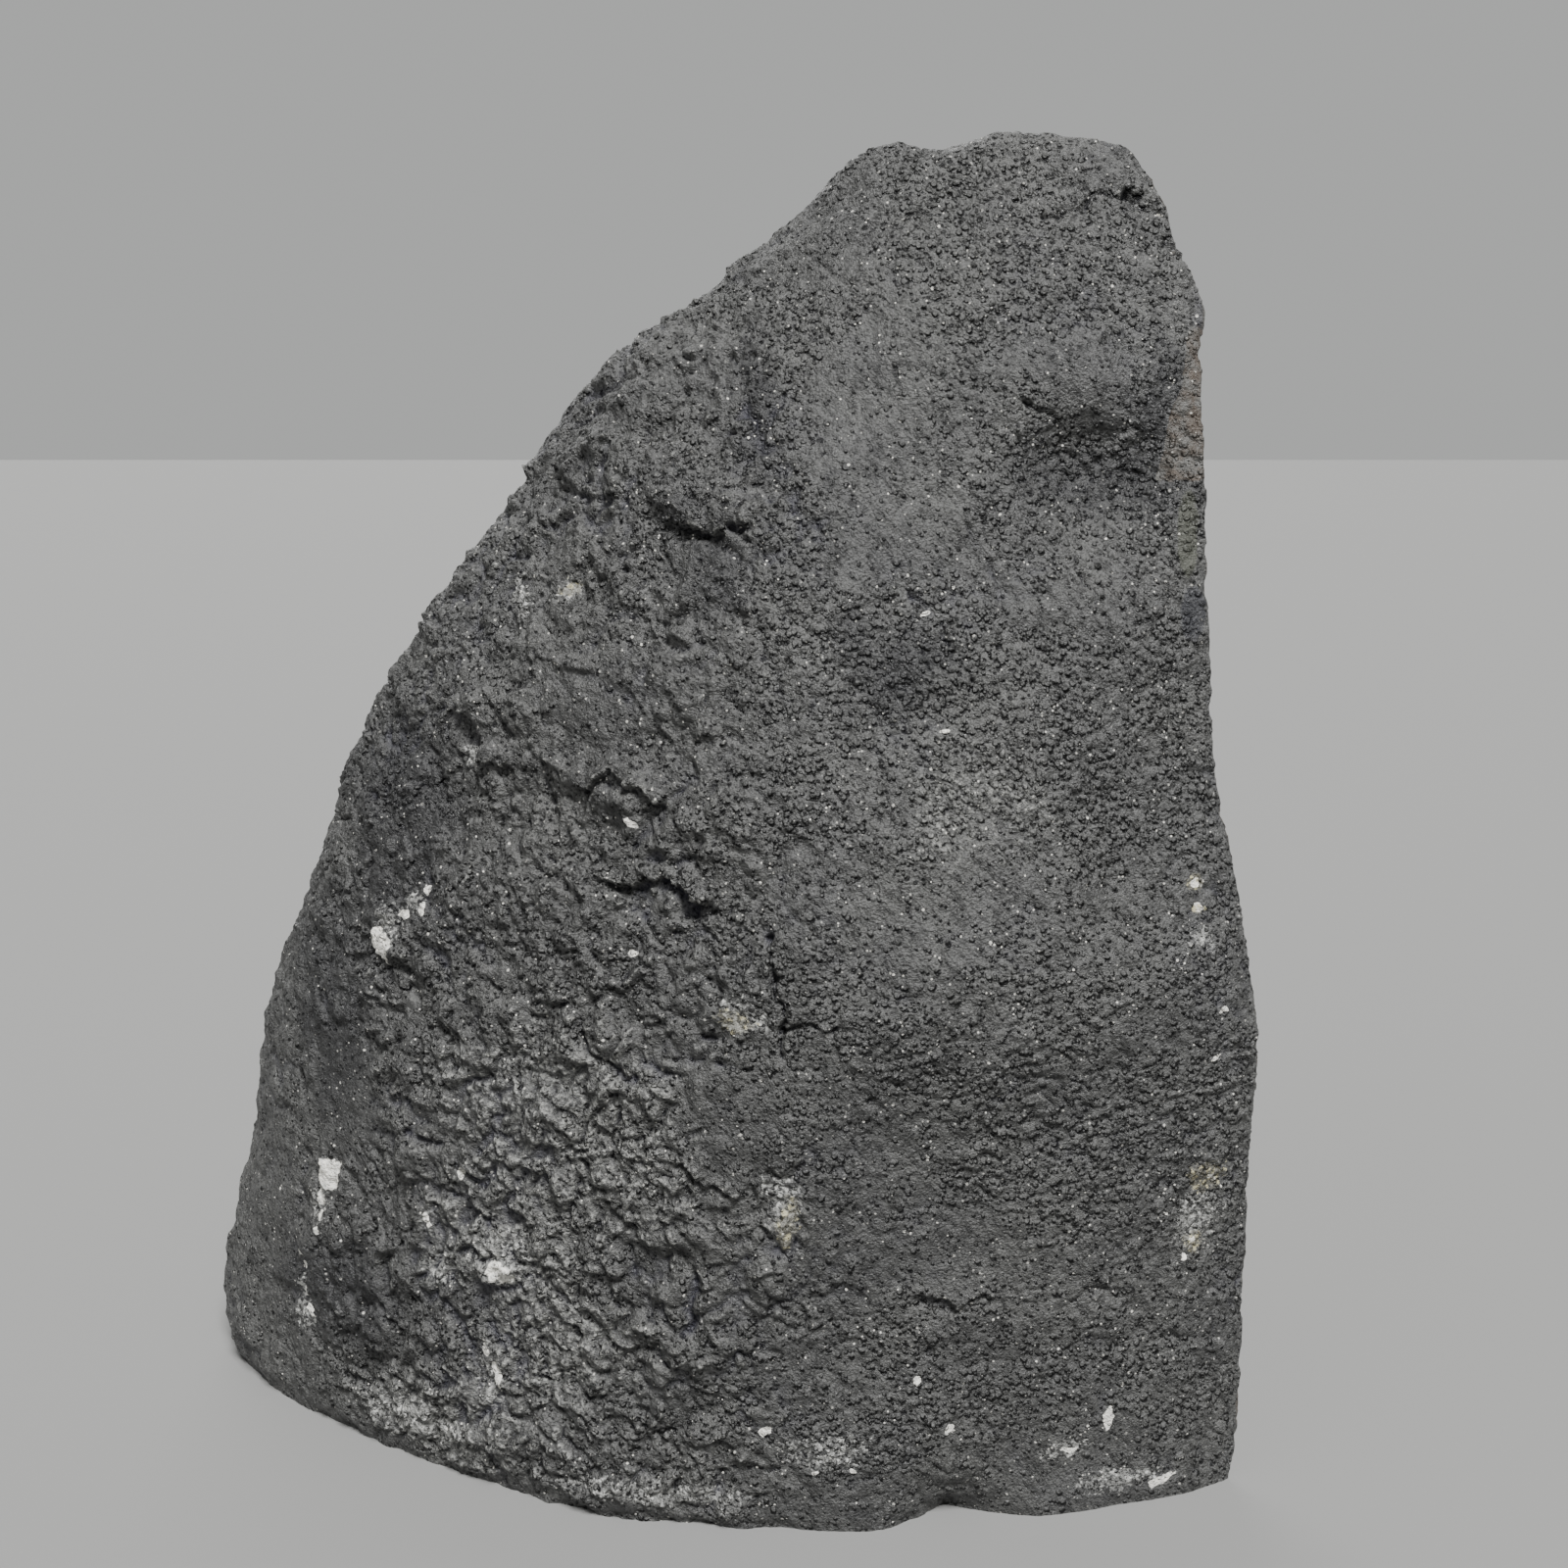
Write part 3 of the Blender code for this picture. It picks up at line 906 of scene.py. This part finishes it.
def skin_colour(s, painted_side_light, creased):
    """The dark skin before anything lies on it.

    It is an even coal grey, with painted shade and highlight on the sides of its granules, paler
    knobs that are partly wear and partly painted highlight, and painted shade in recesses and
    creases.
    """
    colour = s.mix(s.ramp(s.noise(16), 0.35, 0.65), COAL, GREY_COAL)
    colour = scaled_colour(s, colour, s.ramp(s.noise(0.4, 2), 0.3, 0.7, *MOTTLING))
    brushed = s.noise(1.0, 2, (0.22, 1, 1), s.along_streaks)
    brushed = s.ramp(brushed, 0.4, 0.6, *BRUSHING)
    brushed = s.between(brushed, 1.0, s.ramp(s.field("grainy"), 0.3, 0.8))
    colour = scaled_colour(s, colour, brushed)
    # Painted shade on the side of each granule away from the light, and a painted highlight on the
    # side towards it.
    colour = scaled_colour(s, colour, s.ramp(painted_side_light, -0.5, 0.0, PAINTED_SHADE_SIDE, 1.0))
    colour = scaled_colour(s, colour, s.ramp(painted_side_light, 0.0, 0.7, 1.0, PAINTED_HIGHLIGHT_SIDE))
    # Painted shade at the bottom of the creases.
    colour = scaled_colour(s, colour, s.between(PAINTED_CREASE_SHADE, 1.0, creased))
    # Paler grey on raised tops and worn spots: partly wear, partly a painted highlight.
    worn_and_lit_top = s.math("ADD", s.field("recess"), s.math("MULTIPLY", s.field("worn"), 0.32))
    worn_and_lit_top = s.math("MULTIPLY", s.ramp(worn_and_lit_top, 0.12, 0.5), s.ramp(s.noise(0.7, 4), 0.44, 0.6))
    colour = s.mix(s.math("MULTIPLY", worn_and_lit_top, 0.75), colour, WORN_GREY_AND_HIGHLIGHT)
    # Painted shade in the recesses.
    colour = s.mix(s.ramp(s.field("recess"), -0.12, -0.42, 0, 0.9), colour, SHADE_BLACK)
    # Painted shade in the patches where the front lies in shade.
    colour = s.mix(s.math("MULTIPLY", s.field("painted_shade"), 0.5), colour, SHADE_BLACK)
    # A darker violet tint in the hollows: partly the stone's tint, partly painted shade.
    in_hollow = s.ramp(s.field("hollow"), 0.1, -0.6)
    patch = s.math("MULTIPLY", s.ramp(s.noise(24, 2), 0.5, 0.62), in_hollow)
    colour = s.mix(s.math("MULTIPLY", patch, 0.4), colour, VIOLET_AND_SHADE)
    return s.mix(s.math("MULTIPLY", s.specks(2.6, 0.02, 0.35), 0.5), colour, RUST)


def broken_colour(s):
    """The bare face of the split: mottled grey basalt with brown patches, and painted shade in its
    recesses.
    """
    colour = s.mix(s.ramp(s.noise(9, 5), 0.35, 0.65), FRESH_DARK, FRESH_GREY)
    colour = s.mix(s.ramp(s.noise(30, 3), 0.48, 0.62, 0, 0.7), colour, BROWN)
    colour = scaled_colour(s, colour, s.ramp(s.noise(0.7, 4), 0.3, 0.7, *SPLIT_MOTTLING))
    # Painted shade in the recesses of the split face.
    return s.mix(s.ramp(s.field("recess"), -0.05, -0.5, 0, 0.7), colour, SHADE_BLACK)


def basalt_skin():
    """The weathered surface all over: dark skin or bare rock, and everything that lies on it."""
    s = Shader("basalt_skin")
    creased = creases_of(s)
    granules, painted_side_light = grit_of(s)
    grit = s.math("ADD", granules, s.noise(0.45, 2))
    grit = s.math("MULTIPLY", grit, s.between(0.6, 1.0, creased))
    uneven = s.math("MULTIPLY", s.math("SUBTRACT", s.noise(1.3, 4), 0.5), 0.9)
    fine = s.noise(0.8, 5)
    crumbs = s.math("MAXIMUM", s.granules(0.8, 0.5), s.granules(1.5, 0.62))

    def patch(name, low, high):
        """A field's area with a ragged edge."""
        return s.ramp(s.math("ADD", s.field(name), uneven), low, high)

    def scattered(name, share, low, high, solid):
        """A field's area in loose spots: 1 in its crumbs, and solid between them."""
        spread_out = s.math("MULTIPLY", s.field(name), share)
        covered = s.ramp(s.math("ADD", spread_out, fine), low, high)
        return s.math("MULTIPLY", covered, s.between(solid, 1.0, crumbs))

    bare = patch("bare", 0.42, 0.58)
    colour = s.mix(bare, skin_colour(s, painted_side_light, creased), broken_colour(s))
    bark = s.mix(s.ramp(s.noise(2.5), 0.35, 0.65), BROWN, FRESH_GREY)
    colour = s.mix(patch("strip", 0.35, 0.6), colour, bark)
    colour = s.mix(s.math("MULTIPLY", patch("green", 0.4, 0.8), 0.8), colour, MOSS)
    colour = s.mix(s.math("MULTIPLY", patch("blue", 0.4, 0.8), 0.6), colour, SLATE)

    dusty = s.math("MULTIPLY", scattered("dust", 0.42, 0.86, 0.96, 0.35), 0.9)
    colour = s.mix(dusty, colour, DUST)
    # Painted highlights: glints painted into the colour as white specks.
    glint = s.math("MAXIMUM", s.specks(*BIG_GLINTS), s.specks(*SMALL_GLINTS))
    here_and_there = s.ramp(s.noise(9, 2), 0.4, 0.6, *SKIN_GLINTS)
    bright = s.between(here_and_there, SPLIT_GLINTS, bare)
    colour = s.mix(s.math("MULTIPLY", glint, bright), colour, CHALK_AND_GLINT)
    chip = s.ramp(s.math("ADD", s.field("chip"), s.math("MULTIPLY", uneven, 0.7)), 0.0, 0.06)
    chalk = s.mix(s.ramp(s.noise(0.8, 3), 0.3, 0.6), DUST, CHALK_AND_GLINT)
    colour = s.mix(chip, colour, chalk)
    ochre = s.math("MULTIPLY", scattered("ochre", 0.5, 0.84, 0.92, 0.12), 0.85)
    colour = s.mix(ochre, colour, OCHRE)

    roughness = s.ramp(s.noise(1.4, 4), 0.3, 0.7, 0.34, 0.56)
    dull = s.math("MAXIMUM", s.math("MAXIMUM", dusty, chip), s.math("MULTIPLY", bare, 0.9))
    roughness = s.math("MAXIMUM", roughness, s.math("MULTIPLY", dull, 0.95))
    return s.finish(colour, roughness, s.bump(grit, GRIT_HEIGHT))


def sawn_basalt():
    """The saw cut underneath: flat grey stone with the blade's faint parallel scores."""
    s = Shader("sawn_basalt")
    colour = s.mix(s.ramp(s.noise(5, 5), 0.3, 0.7), FRESH_DARK, FRESH_GREY)
    scores = s.noise(1.2, 2, (1, 0.02, 1))
    colour = s.mix(s.ramp(scores, 0.55, 0.7, 0, 0.4), colour, DUST)
    return s.finish(colour, s.ramp(scores, 0.3, 0.7, 0.6, 0.8), s.bump(scores, 0.1))


def plain(name, colour, roughness=0.9):
    """One even colour."""
    s = Shader(name)
    return s.finish((*colour, 1), roughness)


# ---------------------------------------------------------------- the scene

def make_stone():
    """The finished stone as one object. Its UV map is made while its surface is still smooth."""
    mesh = smooth_copy()
    stone = bpy.data.objects.new("weathered_stone", mesh)
    bpy.context.scene.collection.objects.link(stone)
    lay_out(stone)
    weather(mesh)
    saw_off(mesh)
    mesh.materials.clear()
    for material in (basalt_skin(), sawn_basalt()):  # the second is SAWN_SLOT
        mesh.materials.append(material)
    return stone


FLOOR_REACH = 30.0
FLOOR_GREY = (0.178, 0.178, 0.174)
ROOM_COLOUR, ROOM_STRENGTH = (0.75, 0.76, 0.75, 1), 0.6
# The camera looks along +Y and down, from where the photograph was taken.
CAMERA_PLACE, CAMERA_PITCH = (0.0164, -0.2761, 0.171), radians(12)
LENS = SENSOR = 36


def make_floor():
    """A plain pale floor that reaches past what any camera sees."""
    mesh = bpy.data.meshes.new("floor")
    signs = ((-1, -1), (1, -1), (1, 1), (-1, 1))
    corners = [(x * FLOOR_REACH, y * FLOOR_REACH, 0) for x, y in signs]
    mesh.from_pydata(corners, [], [(0, 1, 2, 3)])
    mesh.materials.append(plain("pale_floor", FLOOR_GREY))
    floor = bpy.data.objects.new("floor", mesh)
    bpy.context.scene.collection.objects.link(floor)
    return floor


def make_sun(name, place, width, power):
    """A soft light, width degrees across, whose rays come from the direction of place."""
    light = bpy.data.lights.new(name, "SUN")
    light.angle = radians(width)
    light.energy = power
    thing = bpy.data.objects.new(name, light)
    bpy.context.scene.collection.objects.link(thing)
    thing.location = place
    thing.rotation_euler = (-Vector(place)).to_track_quat("-Z", "Y").to_euler()


def light_room():
    """A big soft light above and in front, weak ones from the left and behind, and a pale room."""
    make_sun("key", (0.2, -0.58, 1.0), width=20, power=8.3)
    make_sun("side", (-0.8, -0.6, 0.5), width=40, power=0.35)
    make_sun("back", (-0.3, 0.9, 0.6), width=50, power=1.4)
    world = bpy.data.worlds.new("pale_room")
    world.use_nodes = True
    background = world.node_tree.nodes["Background"]
    background.inputs["Color"].default_value = ROOM_COLOUR
    background.inputs["Strength"].default_value = ROOM_STRENGTH
    bpy.context.scene.world = world


def make_camera():
    """The scene's camera, at the photograph's viewing angle."""
    camera = bpy.data.cameras.new("camera")
    camera.lens, camera.sensor_width = LENS, SENSOR
    thing = bpy.data.objects.new("camera", camera)
    bpy.context.scene.collection.objects.link(thing)
    thing.location = CAMERA_PLACE
    thing.rotation_euler = (radians(90) - CAMERA_PITCH, 0, 0)
    bpy.context.scene.camera = thing


stone = make_stone()
floor = make_floor()
light_room()
make_camera()

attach(stone, "root")
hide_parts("stone")
